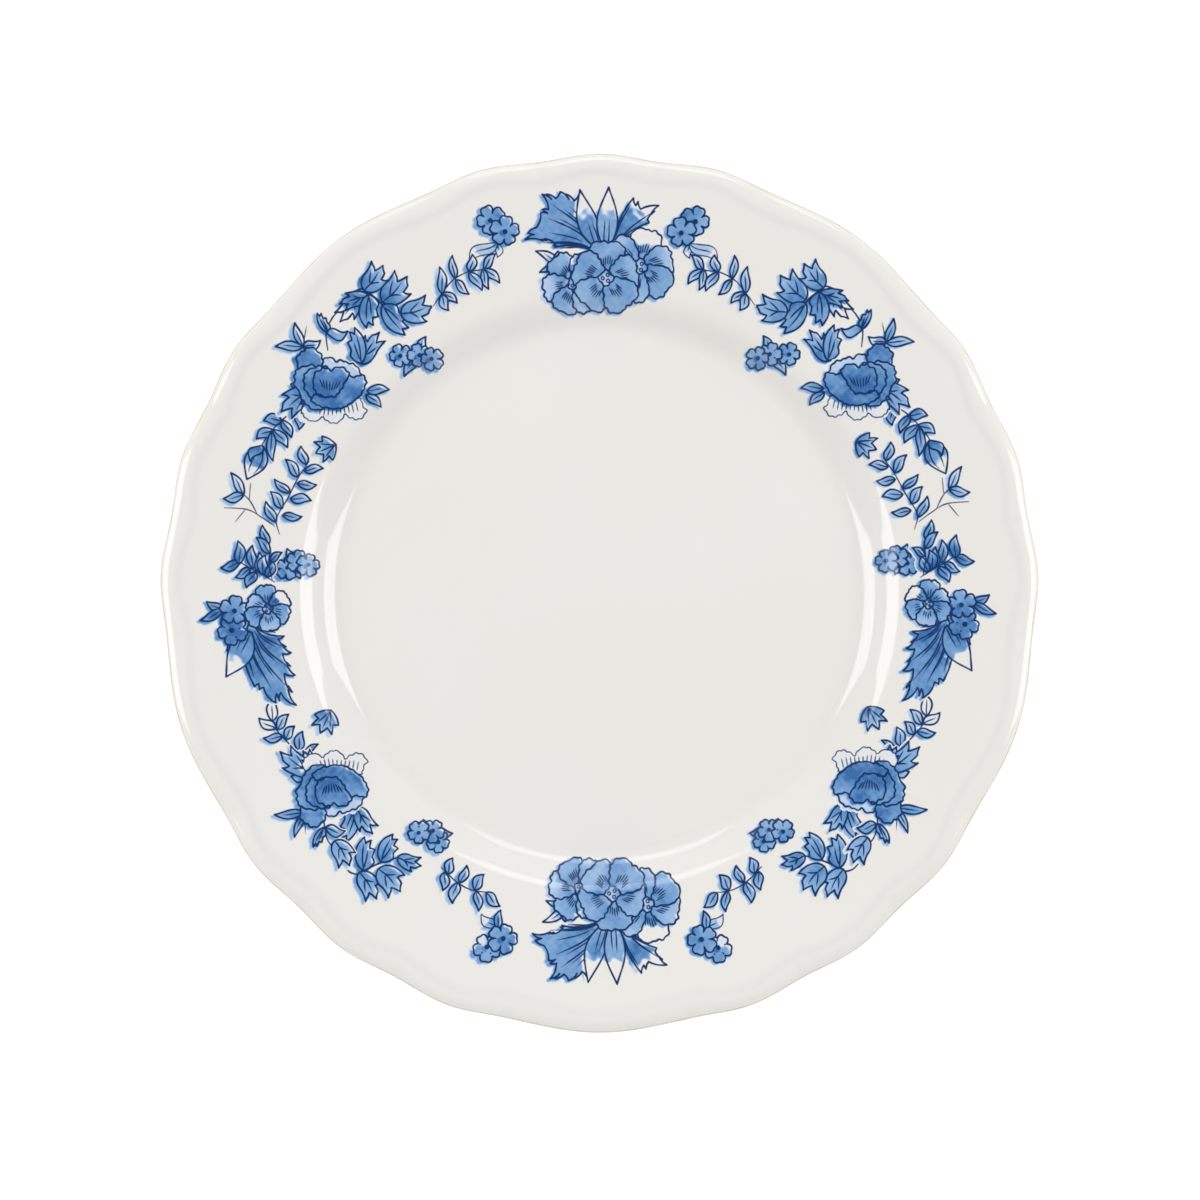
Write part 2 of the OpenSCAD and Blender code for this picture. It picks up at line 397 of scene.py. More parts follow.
def makeGlaze(name, printed=False):
    # Hard porcelain dipped in clear glaze and fired: a milky white under a thin hard gloss.
    # On the transfer films cobalt blue lies under that gloss, in washes and in drawn lines.
    material, tree, place = startMaterial(name)
    sizes = {"cloud": (glazeLook["cloudSize"], 2.0), "wave": (glazeLook["waveSize"], 1.0),
             "peel": (glazeLook["peelSize"], 2.0)}
    if printed:
        sizes |= {"grain": (inkLook["grainSize"], 3.0), "pool": (inkLook["poolSize"], 2.0)}
    noise = {}
    for kind, (size, detail) in sizes.items():
        texture = addNode(tree, "ShaderNodeTexNoise",
                          {"Vector": place, "Scale": 1 / (size * mm), "Detail": detail})
        noise[kind] = texture.outputs["Fac"]
    colour = addNode(tree, "ShaderNodeMix", {
        0: noise["cloud"], 6: hexToLinear(glazeLook["white"]), 7: hexToLinear(glazeLook["whiteAside"])},
        data_type="RGBA").outputs[2]
    if printed:
        uneven = {}
        for kind in ("grain", "pool"):
            depth = inkLook[kind + "Depth"]
            uneven[kind] = addNode(tree, "ShaderNodeMath", {0: noise[kind], 1: depth, 2: 1 - depth / 2},
                                   operation="MULTIPLY_ADD").outputs[0]
        strength = addNode(tree, "ShaderNodeMath", {0: uneven["grain"], 1: uneven["pool"]},
                           operation="MULTIPLY")
        washes = addNode(tree, "ShaderNodeAttribute", attribute_name="wash")
        wash = addNode(tree, "ShaderNodeMath", {0: washes.outputs["Fac"], 1: strength.outputs[0]},
                       operation="MULTIPLY").outputs[0]
        blues = addNode(tree, "ShaderNodeValToRGB", {"Fac": wash})
        setRamp(blues, inkLook["washes"])
        bare = addNode(tree, "ShaderNodeMapRange", {"Value": wash, "From Max": 0.05})
        past = addNode(tree, "ShaderNodeAttribute", attribute_name="pastLine")
        lines = addNode(tree, "ShaderNodeMapRange", {
            "Value": past.outputs["Fac"], "From Min": inkLook["bleed"], "From Max": -inkLook["bleed"]},
            interpolation_type="SMOOTHSTEP")
        drawn = addNode(tree, "ShaderNodeMath", {0: lines.outputs["Result"], 1: uneven["grain"]},
                        operation="MULTIPLY")
        layers = ((bare.outputs["Result"], blues.outputs["Color"]),
                  (drawn.outputs[0], hexToLinear(inkLook["line"])))
    else:
        # painted shade: a slightly darker white along the moulded line and at the notches
        pooled = addNode(tree, "ShaderNodeAttribute", attribute_name="pooled")
        layers = ((pooled.outputs["Fac"], hexToLinear(glazeLook["pooled"])),)
    for cover, tint in layers:
        colour = addNode(tree, "ShaderNodeMix", {0: cover, 6: colour, 7: tint},
                         data_type="RGBA").outputs[2]
    normal = {}
    for kind in ("wave", "peel"):
        bump = addNode(tree, "ShaderNodeBump", {
            "Height": noise[kind], "Distance": glazeLook[kind + "Depth"] * mm,
            "Strength": 1.0, **normal})
        normal = {"Normal": bump.outputs["Normal"]}
    return endMaterial(material, tree, {
        "Base Color": colour, "Roughness": glazeLook["roughness"],
        "Specular IOR Level": glazeLook["bodySheen"], "Coat Weight": 1.0,
        "Coat Roughness": glazeLook["coatRoughness"], "Coat IOR": porcelainIOR,
        "Coat Normal": normal["Normal"], **normal})


lipLook = {
    "toast": [(0.3, "#e2dacf"), (0.7, "#d4c6b2")],
    "toastSize": 9.0,  # mm
    "roughness": 0.3,
    "coat": 0.8,
    "coatRoughness": 0.06,
}


def makeShadedLip():
    # The lip's warm tan edge line, darkened as painted shade of its turned-down edge: a band from just
    # over the top of the lip round its edge
    material, tree, place = startMaterial("thinGlazeLip")
    toast = addNode(tree, "ShaderNodeTexNoise",
                    {"Vector": place, "Scale": 1 / (lipLook["toastSize"] * mm), "Detail": 3.0})
    ramp = addNode(tree, "ShaderNodeValToRGB", {"Fac": toast.outputs["Fac"]})
    setRamp(ramp, lipLook["toast"])
    return endMaterial(material, tree, {
        "Base Color": ramp.outputs["Color"], "Roughness": lipLook["roughness"],
        "Coat Weight": lipLook["coat"], "Coat Roughness": lipLook["coatRoughness"]})


footLook = {
    "greys": [(0.12, "#b3a998"), (0.4, "#ddd7cc")],
    "gritSize": 0.6,   # mm
    "gritDepth": 0.03,
    "stainSize": 12.0,
    "roughness": 0.62,
}


def makeBareBody():
    # Bare fired porcelain, rubbed smooth where it stands: matt, faintly grey, with fine grit and wear
    material, tree, place = startMaterial("rubbedPorcelain")
    grit = addNode(tree, "ShaderNodeTexNoise",
                   {"Vector": place, "Scale": 1 / (footLook["gritSize"] * mm), "Detail": 4.0})
    stain = addNode(tree, "ShaderNodeTexNoise",
                    {"Vector": place, "Scale": 1 / (footLook["stainSize"] * mm), "Detail": 3.0})
    both = addNode(tree, "ShaderNodeMath", {0: grit.outputs["Fac"], 1: stain.outputs["Fac"]},
                   operation="MULTIPLY")
    ramp = addNode(tree, "ShaderNodeValToRGB", {"Fac": both.outputs[0]})
    setRamp(ramp, footLook["greys"])
    bump = addNode(tree, "ShaderNodeBump", {
        "Height": grit.outputs["Fac"], "Distance": footLook["gritDepth"] * mm, "Strength": 0.7})
    return endMaterial(material, tree, {
        "Base Color": ramp.outputs["Color"], "Roughness": footLook["roughness"],
        "Normal": bump.outputs["Normal"]})


# ---- body, glaze and lip
def markPaintedShade(mesh):  # how strong the painted shade is at each point, from 0 to 1, along the moulded line and at the notches
    x, y, _ = pointsOf(mesh).T / mm
    angle = np.degrees(np.arctan2(x, y))
    across, _, sharp = lobeAt(angle)
    past = np.hypot(x, y) - ridgeRadius(angle)
    alongLine = np.exp(-((past + 0.3) / glazeLook["poolWidth"]) ** 2)
    atNotch = np.exp(-((1 - np.abs(across)) / glazeLook["seamWidth"]) ** 2) * smooth(-1, 1, past)
    layer = mesh.attributes.new("pooled", "FLOAT", "POINT")
    pooled = np.maximum(alongLine, np.where(sharp, *glazeLook["seams"]) * atNotch)
    layer.data.foreach_set("value", pooled)


def addPlate():
    tip, nose = plate["tipRadius"], plate["lipNose"]
    glaze, foot = plate["glaze"], plate["footRadius"]
    radii = np.concatenate([[0], np.linspace(12, 76, 6), np.arange(78.5, 97, 0.8),
                            np.arange(98.5, 120, 2.2), np.arange(120.8, tip - nose - 0.3, 0.6)])
    top = [(r, float(faceHeight(r))) for r in radii]
    high, low = float(faceHeight(tip - nose)), float(backHeight(tip - nose))
    around = [(tip - nose + nose * math.cos(a), (high + low) / 2 + (high - low) / 2 * math.sin(a))
              for a in np.linspace(math.pi / 2, -math.pi / 2, 15)]
    skin = top + around  # the face and right round the lip
    split = len(top) + 3  # the tan band of painted shade starts here, just over the top of the lip
    under = around[11:] + [(r, float(backHeight(r))) for r in np.concatenate([
        np.arange(132.5, 100, -3.5), np.arange(99, 80, -1.2)])]
    root = foot + plate["footWidth"] / 2 + plate["footDraft"]
    floorUnder = plate["floorHeight"] - plate["thickness"]
    ringOut = [(root + 1.5, floorUnder), (root + 0.5, floorUnder - 0.1), (root, floorUnder - 0.5),
               (foot + plate["footWidth"] / 2 + 0.5, 0.7)]
    ringIn = [(2 * foot - r, z) for r, z in reversed(ringOut)]
    underIn = ringIn + [(r, floorUnder) for r in (64, 50, 36, 22, 10, 0)]
    backOut = under + ringOut

    clear = makeGlaze("clearGlaze")
    face, band = skin[:split + 1], skin[split:len(top) + 12]
    bandIn = offsetPath(skin[split - 1:len(top) + 13], 0.4)[1:-1]
    ringFace = [(foot + 1.9, 0.35), (foot + 1.2, 0), (foot - 1.2, 0), (foot - 1.9, 0.35)]
    bodySkin = [*offsetPath(skin, glaze), *offsetPath(backOut, glaze)[4:], *ringFace,
                *offsetPath(underIn, glaze)]
    parts = {
        "glazeFace": ("glaze_face", clear, "clear_glaze", [[*face, *offsetPath(face, glaze)[::-1]]]),
        "edgeBand": ("edge_band", makeShadedLip(), "edge_band", [[*band, *bandIn[::-1]]]),
        "glazeBack": ("glaze_back", clear, "clear_glaze",
                      [[*backOut, *offsetPath(backOut, glaze)[::-1]],
                       [*underIn[::-1], *offsetPath(underIn, glaze)]]),
        "porcelainBody": ("porcelain_body", makeBareBody(), "bare_porcelain", [bodySkin]),
    }
    for name, (node, material, slot, sections) in parts.items():
        steps = plate["turns"] if name != "porcelainBody" else plate["turns"] // 2
        mesh = turnSection(name, sections, steps)
        finishMesh(mesh, 50, shapeScallops)
        if name == "glazeFace":
            markPaintedShade(mesh)
        addPiece(name, mesh, material, node)
        print(name, len(mesh.polygons), "faces")


addPlate()


# ---- drawing. A point is (clock angle in degrees, mm from the plate's middle), clockwise from the top.
brush = {
    "pitch": 0.19,        # mm between the points that carry the ink
    "line": 0.6,          # mm, a drawn outline
    "thin": 0.4,          # mm, the outline of a white petal or a twig's leaf
    "fine": 0.42,         # mm, a vein or a hatch line
    "bleed": 0.75,        # mm over which a wash fades
    "wander": 0.42,       # mm that a wash's edge wanders from the outline
    "slip": (-0.7, -0.45),  # mm that the washes lie off their outlines
    "margin": 1.6,        # mm of clear film kept in reach round the ink
    "faint": 0.02,        # less ink than this leaves no film
    "lift": 0.045,        # mm that a film stands on the glaze
    "sink": 0.05,         # mm that it is let into it
}


def xy(point):
    if isinstance(point, tuple):
        angle = math.radians(point[0])
        return np.array([point[1] * math.sin(angle), point[1] * math.cos(angle)])
    return np.asarray(point, float)


def heading(angle):
    return np.array([math.sin(angle), math.cos(angle)])


def bow(corners, steps=6):  # (x, y, bow), clockwise: the side after a corner bows out by that share
    path = []
    for (ax, ay, out), (bx, by, _) in zip(corners, corners[1:] + corners[:1]):
        mid = ((ax + bx) / 2 - 2 * out * (by - ay), (ay + by) / 2 + 2 * out * (bx - ax))
        for t in np.linspace(0, 1, steps, endpoint=False):
            path.append([(1 - t) ** 2 * a + 2 * t * (1 - t) * m + t * t * b
                         for a, m, b in ((ax, mid[0], bx), (ay, mid[1], by))])
    return np.array(path)


def between(root, tip, width, unit):  # lays a shape drawn from (0, 0) to (0, 1) between two points
    start, along = xy(root), xy(tip) - xy(root)
    across = np.array([along[1], -along[0]]) / max(np.hypot(*along), 1e-6)
    unit = np.asarray(unit, float)
    return start + unit[:, 1:2] * along + unit[:, :1] * across * width


def curveThrough(points, steps=8):
    points = np.array([xy(q) for q in points])
    padded = np.vstack([2 * points[0] - points[1], points, 2 * points[-1] - points[-2]])
    path = []
    for a, b, c, d in zip(padded, padded[1:], padded[2:], padded[3:]):
        for t in np.linspace(0, 1, steps, endpoint=False):
            path.append(0.5 * (2 * b + (c - a) * t + (2 * a - 5 * b + 4 * c - d) * t ** 2
                               + (3 * b - a - 3 * c + d) * t ** 3))
    return np.array(path + [points[-1]])


def outline(points, root, tip, tones, line="line"):
    return {"points": points, "root": xy(root), "tip": xy(tip), "tones": tones,
            "width": brush[line], "closed": True}


def stroke(points, width, taper=0.6):
    return {"points": np.asarray(points), "width": width, "taper": taper, "closed": False}


def drawStem(points, width=0.46):
    return [stroke(curveThrough(points), width, 0.3)]


# A tone is how strong the wash is, from 0 to 1, at the root and at the tip.
def drawOval(root, tip, width, tones=(0.8, 0.5), bend=0.12, vein=0.75, line="line"):  # a narrow leaf
    t = np.linspace(0, 1, 15)
    half = 0.5 * np.sin(np.pi * t ** 0.85) ** 0.9 * (1 - 0.25 * t ** 3)
    spine = bend * (np.sin(np.pi * t) - 0.5 * np.sin(2 * np.pi * t))
    unit = [*zip(spine - half, t), *zip((spine + half)[-2:0:-1], t[-2:0:-1])]
    marks = [outline(between(root, tip, width, unit), root, tip, tones, line)]
    if vein:
        midrib = np.column_stack([spine, t])[t <= vein]
        marks.append(stroke(between(root, tip, width, midrib), brush["fine"]))
    return marks


def drawSpear(root, tip, width, tones=(0.7, 0.02), bend=0.0):
    t = np.linspace(0, 1, 15)
    half, spine = 0.5 * np.sin(np.pi * t ** 0.85) ** 1.1 + 0.16 * (1 - t), bend * np.sin(np.pi * t)
    unit = [*zip(spine - half, t), *zip((spine + half)[-2::-1], t[-2::-1])]
    marks = [outline(between(root, tip, width, unit), root, tip, tones)]
    for side in (-0.13, 0.11):
        vein = between(root, tip, width, [(side, 0.02), (1.2 * side, 0.22), (side, 0.45)])
        marks.append(stroke(vein, brush["fine"]))
    return marks


leafShapes = {  # corners and veins from (0, 0) at the root to (0, 1) at the tip
    "toothed": {
        "edge": [(0, 0, 0.16), (-0.46, 0.32, 0.06), (-0.5, 0.74, -0.1), (-0.26, 0.62, 0.06),
                 (-0.2, 0.84, -0.06), (0.05, 1.0, -0.05), (0.17, 0.7, 0.03), (0.3, 0.78, -0.03),
                 (0.52, 0.86, -0.06), (0.4, 0.5, 0.06), (0.38, 0.26, 0.14)],
        "veins": [[(0, -0.04), (-0.04, 0.4), (0.02, 0.74)], [(-0.02, 0.25), (-0.14, 0.4), (-0.3, 0.52)],
                  [(0, 0.28), (0.14, 0.42), (0.3, 0.62)]]},
    "curled": {
        "edge": [(0, 0, 0.12), (-0.3, 0.3, 0.14), (-0.22, 0.8, 0.02), (0.0, 1.0, -0.04),
                 (0.06, 0.82, 0.05), (0.26, 0.9, -0.06), (0.22, 0.66, 0.06), (0.42, 0.62, -0.05),
                 (0.32, 0.4, 0.06), (0.4, 0.24, 0.1)],
        "veins": [[(0, 0), (-0.06, 0.4), (-0.02, 0.8)], [(0, 0.06), (0.1, 0.36), (0.14, 0.6)]]},
    "fan": {
        "edge": [(0, 0, 0.1), (-0.5, 0.42, 0.02), (-0.3, 0.5, 0.04), (-0.42, 0.86, -0.04),
                 (-0.15, 0.7, 0.04), (0, 1.0, 0.03), (0.15, 0.7, -0.03), (0.42, 0.86, 0.04),
                 (0.3, 0.5, 0.02), (0.5, 0.42, 0.1)],
        "veins": [[(0, 0.02), (0, 0.4), (0, 0.8)], [(0, 0.02), (-0.14, 0.36), (-0.28, 0.68)],
                  [(0, 0.02), (0.14, 0.36), (0.28, 0.68)]]},
}
petalEdge = [(-0.06, 0, 0.04), (-0.42, 0.44, 0.16), (-0.47, 0.78, 0.2), (-0.2, 0.98, 0.12),
             (0.04, 0.96, 0.14), (0.3, 0.97, 0.16), (0.48, 0.7, 0.12), (0.38, 0.4, 0.04), (0.06, 0, 0)]


def drawLeaf(kind, root, tip, width, tones=(0.8, 0.5)):  # a negative width turns the shape over
    cut = leafShapes[kind]
    marks = [outline(between(root, tip, width, bow(cut["edge"])), root, tip, tones)]
    for vein in cut["veins"]:
        path = curveThrough([np.array(q) for q in vein])
        marks.append(stroke(between(root, tip, width, path), brush["fine"] + 0.08))
    return marks


def drawFrond(root, tips, cuts, tones, curl, ribs=True):  # one cut leaf, its points given clockwise
    root, tips = xy(root), [xy(tip) for tip in tips]
    corners = [(*root, -curl)]
    veins = []
    for k, tip in enumerate(tips):
        corners.append((*tip, curl))
        if k < len(cuts):
            notch = root + (1 - cuts[k]) * ((tip + tips[k + 1]) / 2 - root)
            barb = tip + 0.5 * (notch - tip)
            corners.append((*(barb - 0.05 * (barb - root)), 0))
            corners.append((*(barb + 0.04 * (barb - root)), curl))
            corners.append((*notch, -curl))
            if ribs:
                veins.append(archTo(root, root + 0.8 * (notch - root), curl, brush["fine"], 6))
        reach = 0.86 - 0.05 * (k % 3)
        veins.append(archTo(root, root + reach * (tip - root), curl, brush["fine"] + 0.12))
    return [outline(bow(corners), root, sum(tips) / len(tips), tones)] + veins


def archTo(start, end, curl, width, skip=3):  # a vein that arches like a jet, from just above the root
    way = end - start
    middle = (start + end) / 2 + 0.7 * curl * np.array([way[1], -way[0]])
    return stroke(curveThrough([start, middle, end])[skip:], width)


def ruffle(path, depth=0.2, length=2.3):  # frills a closed outline
    ends = np.roll(path, -1, axis=0)
    steps = np.hypot(*(ends - path).T)
    place = np.concatenate([[0], np.cumsum(steps)])
    along = np.linspace(0, place[-1], max(int(place[-1] / 0.45), 12), endpoint=False)
    closed = np.vstack([path, path[:1]])
    smoothPath = np.column_stack([np.interp(along, place, closed[:, k]) for k in (0, 1)])
    legs = np.roll(smoothPath, -1, axis=0) - np.roll(smoothPath, 1, axis=0)
    out = np.column_stack([-legs[:, 1], legs[:, 0]]) / np.maximum(np.hypot(*legs.T), 1e-6)[:, None]
    waves = np.sin(tau * along / length + 1.3 * np.sin(0.7 * along)) + 0.4 * np.sin(2.7 * along)
    return smoothPath + depth * waves[:, None] * out


def drawRing(middle, size, tone, line="thin"):
    phi = np.linspace(0, tau, 12, endpoint=False)
    points = middle + size * np.column_stack([np.sin(phi), np.cos(phi)])
    return outline(points, middle, middle + (0, size), (tone, tone), line)


def drawFlower(middle, radius, turn, tones=(0.75, 0.55)):  # five notched petals in one outline
    middle, turn = xy(middle), math.radians(turn)
    phi = np.linspace(0, tau, 90, endpoint=False)
    lobe = np.abs(np.cos(2.5 * (phi - turn)))
    rho = radius * (0.56 + 0.5 * lobe ** 0.5 - 0.12 * lobe ** 8) * (1 + 0.08 * np.cos(phi + 3 * turn))
    points = middle + np.column_stack([rho * np.sin(phi), rho * np.cos(phi)])
    side = radius * heading(4 * turn + 0.7)
    marks = [outline(points, middle - side, middle + side, tones)]
    for k in range(5):
        way = heading(turn + tau * (k + 0.5) / 5)
        marks.append(stroke([middle + 0.6 * radius * way, middle + 0.44 * radius * way], 0.46))
    marks.append(drawRing(middle, 0.13 * radius, 1.0, "fine"))
    for k in range(3):
        marks.append(drawRing(middle + 0.05 * radius * heading(turn + 2.1 * k), 0.03 * radius, 1.0))
    return marks


def drawBloom(middle, radius, turn, tones, bare=(), petals=6):  # a big open flower, some petals bare
    middle, turn = xy(middle), math.radians(turn)
    marks = []
    # the petals are drawn from the lowest up, so the top one is in front
    for k in sorted(range(petals), key=lambda k: -math.cos(tau * k / petals + 0.3)):
        angle = turn + tau * k / petals + 0.09 * math.sin(2.2 * k)
        tip = middle + radius * (1 + 0.06 * math.cos(2.7 * k)) * heading(angle)
        width = 5.6 / petals * radius * (-1 if k % 2 else 1)
        shape = ruffle(between(middle, tip, width, bow(petalEdge)), 0.016 * radius, 0.24 * radius)
        end = 0.03 if k in bare else (tones[1] if k % 2 else 0.5 * (tones[0] + tones[1]))
        marks.append(outline(shape, middle, tip, (tones[0], end)))
        for aside in np.linspace(-0.36, 0.36, 6 if radius > 8 else 4):
            way, bent = heading(angle + aside), heading(angle + 0.82 * aside)
            reach = 0.66 - 0.5 * aside ** 2 + 0.03 * math.sin(9 * aside + k)
            lash = [middle + (reach - 0.27) * radius * way, middle + reach * radius * bent]
            marks.append(stroke(lash, 0.3 + 0.01 * radius))
    phi = np.linspace(0, tau, 32, endpoint=False)
    rho = 0.21 * radius * (1 + 0.13 * np.cos(4 * (phi - turn)) + 0.06 * np.cos(9 * phi))
    heart = middle + np.column_stack([rho * np.sin(phi), rho * np.cos(phi)])
    marks.append(outline(heart, middle, middle + (0, radius), (0.55, 0.55)))
    for angle in (0.4, 2.5, 4.6):
        marks.append(drawRing(middle + 0.1 * radius * heading(turn + angle), 0.045 * radius, 0.3))
    return marks


# corners in shares of the rose's radius, up its middle, then the tones from the base to the rim, and
# the line; the first petal is the white skirt
rosePetals = [
    ([(-0.8, -0.3, 0.1), (-0.98, -0.62, -0.3), (-0.5, -0.84, 0.02), (-0.36, -0.78, -0.3),
      (0.12, -1.0, 0.05), (0.22, -0.9, -0.3), (0.82, -0.84, -0.1), (0.66, -0.4, 0)],
     (0.05, 0.5), "thin"),
    ([(-0.88, 0.08, 0.1), (-0.7, 0.46, 0.2), (-0.34, 0.66, 0.22), (-0.05, 0.66, 0.24),
      (0.34, 0.7, 0.16), (0.76, 0.36, 0.16), (0.78, -0.2, 0), (-0.5, -0.2, 0)], (0.85, 0.25), "line"),
    ([(0.34, 0.6, 0.16), (0.56, 0.96, 0.24), (0.9, 0.88, 0.22), (1.04, 0.5, 0.16), (0.6, 0.1, 0)],
     (0.75, 0.85), "line"),
    ([(0.42, 0.42, 0.2), (0.84, 0.46, 0.25), (1.08, 0.06, 0.2), (0.92, -0.24, 0.12),
      (0.74, -0.56, 0.2), (0.2, -0.66, 0), (0.3, 0, 0)], (0.85, 0.7), "line"),
    ([(0.2, 0.5, 0.12), (0.66, 0.4, 0.2), (0.82, 0.02, 0.12), (0.6, -0.38, 0.1), (0.2, -0.42, 0),
      (0.3, 0, 0)], (0.95, 0.75), "line"),
    ([(-0.9, 0.12, 0.16), (-0.8, 0.36, 0.16), (-0.58, 0.26, 0.06), (-0.32, 0.34, -0.04),
      (-0.02, -0.3, -0.04), (0.52, -0.3, 0.02), (0.6, -0.46, 0.1), (0.04, -0.64, 0.12),
      (-0.56, -0.42, 0.1)], (0.95, 0.6), "line"),
    ([(-0.42, 0.34, 0.1), (-0.3, 0.48, 0.22), (0.02, 0.46, 0.0), (0.1, 0.4, 0.24), (0.4, 0.4, 0.2),
      (0.56, 0.06, 0.12), (0.44, -0.26, 0.04), (0.16, -0.34, -0.06), (-0.06, -0.32, 0.04),
      (-0.26, -0.02, 0)], (1.0, 0.85), "line"),
]


def drawRose(middle, radius, turn, hand=1):  # a cupped rose from the side; hand -1 turns it over
    middle, turn = xy(middle), math.radians(turn)
    up, right = radius * heading(turn), hand * radius * heading(turn + math.pi / 2)
    marks = []
    for corners, tones, line in rosePetals:
        x, y = bow(corners).T
        shape = ruffle(middle + np.outer(x, right) + np.outer(y, up), 0.17 * hand, 2.4)
        marks.append(outline(shape, middle - 0.5 * up, middle + 0.6 * up, tones, line))
        if line == "thin":  # lashes where the white petals leave the cup
            for x in np.linspace(-0.66, 0.5, 12):
                top = -0.3 - 0.34 * (1 - (x / 0.8) ** 2)
                long = 0.2 + 0.05 * math.sin(7 * x)
                end = middle + 1.12 * x * right + (top - long) * up
                marks.append(stroke([middle + x * right + top * up, end], 0.4))
    for x in np.linspace(-0.2, 0.4, 7):  # hatching in its heart
        aside = x - 0.1
        start = middle + (0.1 + 0.6 * aside) * right + (-0.16 + 0.9 * aside ** 2) * up
        end = middle + x * right + (0.12 + 0.5 * aside ** 2) * up
        marks.append(stroke([start, end], brush["fine"]))
    return marks


def drawBud(root, tip, width):
    marks = drawOval(root, tip, width, (0.9, 0.04), 0.0, 0)
    t = np.linspace(0.05, 0.8, 9)
    for side in (-0.14, 0.26):
        fold = np.column_stack([side * np.sin(np.pi * t), t])
        marks.append(stroke(between(root, tip, width, fold), 0.48))
    cup = between(root, tip, width, [(-0.2, 0.52)])[0]
    return marks + drawOval(root, cup, 0.45 * width, (0.95, 0.7), -0.3, 0)


def drawPairs(stem, pairs, width=2.6, tones=(0.78, 0.45)):  # a stem, and a leaf for each (root, tip)
    marks = drawStem(stem)
    for k, (root, tip) in enumerate(pairs):
        marks += drawOval(root, tip, width * (1 + 0.12 * math.sin(2.3 * k)), tones, 0.14 * (-1) ** k)
    return marks


def drawTwig(start, fork, leaves, tick):  # the narrow leaves that stand over a rose, from one fork
    marks = drawStem([start, fork], 0.4) + [stroke(curveThrough([fork, tick]), 0.36)]
    for tip, width, tones, bend in leaves:
        marks += drawOval(fork, tip, width, tones, bend)
    return marks


def drawPosy(places, leaves, turn):  # three small flowers in a row on a stem, and two leaves
    marks = drawPairs(places, [(places[1], tip) for tip in leaves], 3)
    for k in range(3):
        marks += drawFlower(places[k], 3.6, turn + 70 * k)
    return marks


def drawSpray(rows):
    kinds = {"oval": drawOval, "spear": drawSpear, "frond": drawFrond, "flower": drawFlower,
             "bloom": drawBloom, "rose": drawRose, "bud": drawBud, "stem": drawStem,
             "pairs": drawPairs, "twig": drawTwig, "posy": drawPosy}
    marks = []
    for kind, *details in rows:
        marks += kinds[kind](*details) if kind in kinds else drawLeaf(kind, *details)
    return marks


# ---- painting the marks on to film
def distanceTo(points, path, closed):  # mm to the path, share of the way along it, whether inside
    ends = np.roll(path, -1, axis=0) if closed else path[1:]
    starts = path if closed else path[:-1]
    legs = ends - starts
    square = np.maximum((legs ** 2).sum(axis=1), 1e-12)
    away = points[:, None, :] - starts[None]
    share = np.clip((away * legs[None]).sum(axis=2) / square, 0, 1)
    gap = np.hypot(away[..., 0] - share * legs[:, 0], away[..., 1] - share * legs[:, 1])
    nearest = gap.argmin(axis=1)
    rows = np.arange(len(points))
    along = (nearest + share[rows, nearest]) / len(legs)
    inside = np.zeros(len(points), bool)
    if closed:
        y = points[:, 1:2]
        crosses = (starts[:, 1] > y) != (ends[:, 1] > y)
        slope = legs[:, 0] / np.where(legs[:, 1] == 0, 1e-9, legs[:, 1])
        crosses &= points[:, :1] < starts[:, 0] + (y - starts[:, 1]) * slope
        inside = crosses.sum(axis=1) % 2 == 1
    return gap[rows, nearest], along, inside


def drift(x, y, size, seed):  # a slow unevenness between -1 and 1
    u, v = x / size + seed * 1.7, y / size - seed * 2.3
    first = np.sin(1.9 * u + 1.6 * np.sin(1.3 * v + seed))
    return 0.5 * first + 0.5 * np.sin(2.2 * v + 1.4 * np.sin(1.7 * u - seed))


# At each point, how strong the wash is, how many mm it lies past the nearest line's edge, which is
# under 0 within the line, and whether film is kept there
def paintMarks(marks, x, y, seed):
    wash, past, held = np.zeros(len(x)), np.ones(len(x)), np.zeros(len(x), bool)
    plan = np.column_stack([x, y])
    pressure = 1 + 0.16 * drift(x, y, 1.9, seed)
    uneven = 1 + 0.13 * drift(x, y, 3.2, seed + 1) + 0.07 * drift(x, y, 0.9, seed + 2)
    wander = brush["wander"] * (0.7 * drift(x, y, 2.1, seed + 3) + 0.3 * drift(x, y, 0.8, seed + 4))
    ragged = 0.08 * drift(x, y, 1.3, seed + 5)
    slip = np.array(brush["slip"]) * (1 + 0.35 * math.sin(seed * 3.1))
    for mark in marks:
        low, high = mark["points"].min(axis=0), mark["points"].max(axis=0)
        beside = (plan > low - brush["margin"]) & (plan < high + brush["margin"])
        near = np.flatnonzero(beside.all(axis=1))
        here = plan[near]
        gap, along, inside = distanceTo(here, mark["points"], mark["closed"])
        if mark["closed"]:
            slipped, _, within = distanceTo(here - slip, mark["points"], True)
            depth = np.where(within, -slipped, slipped) + wander[near]
            cover = 1 - smooth(-0.12, brush["bleed"], depth)
            axis = mark["tip"] - mark["root"]
            share = ((here - mark["root"]) @ axis) / max(axis @ axis, 1e-6)
            base, end, bareFrom = (*mark["tones"], 0.52)[:3]
            if end > 0.1:
                fade = smooth(0.1, 0.95, share)
            else:  # a bare tip, its wash stopped short with a ragged edge
                fade = smooth(bareFrom, bareFrom + 0.12, share + ragged[near])
            tone = (base + (end - base) * fade) * uneven[near]
            wash[near] = wash[near] * (1 - cover) + np.clip(tone, 0, 1) * cover
            past[near] = np.maximum(past[near], np.where(inside, gap, -gap))  # hides lines behind it
            held[near] |= inside
            width = mark["width"] * pressure[near]
        else:
            thin = smooth(0, 0.18, along) * smooth(0, 0.3, 1 - along)
            width = mark["width"] * pressure[near] * (1 - mark["taper"] + mark["taper"] * thin)
        past[near] = np.minimum(past[near], gap - width / 2)
    return wash, past, held | (wash > brush["faint"]) | (past < inkLook["bleed"])


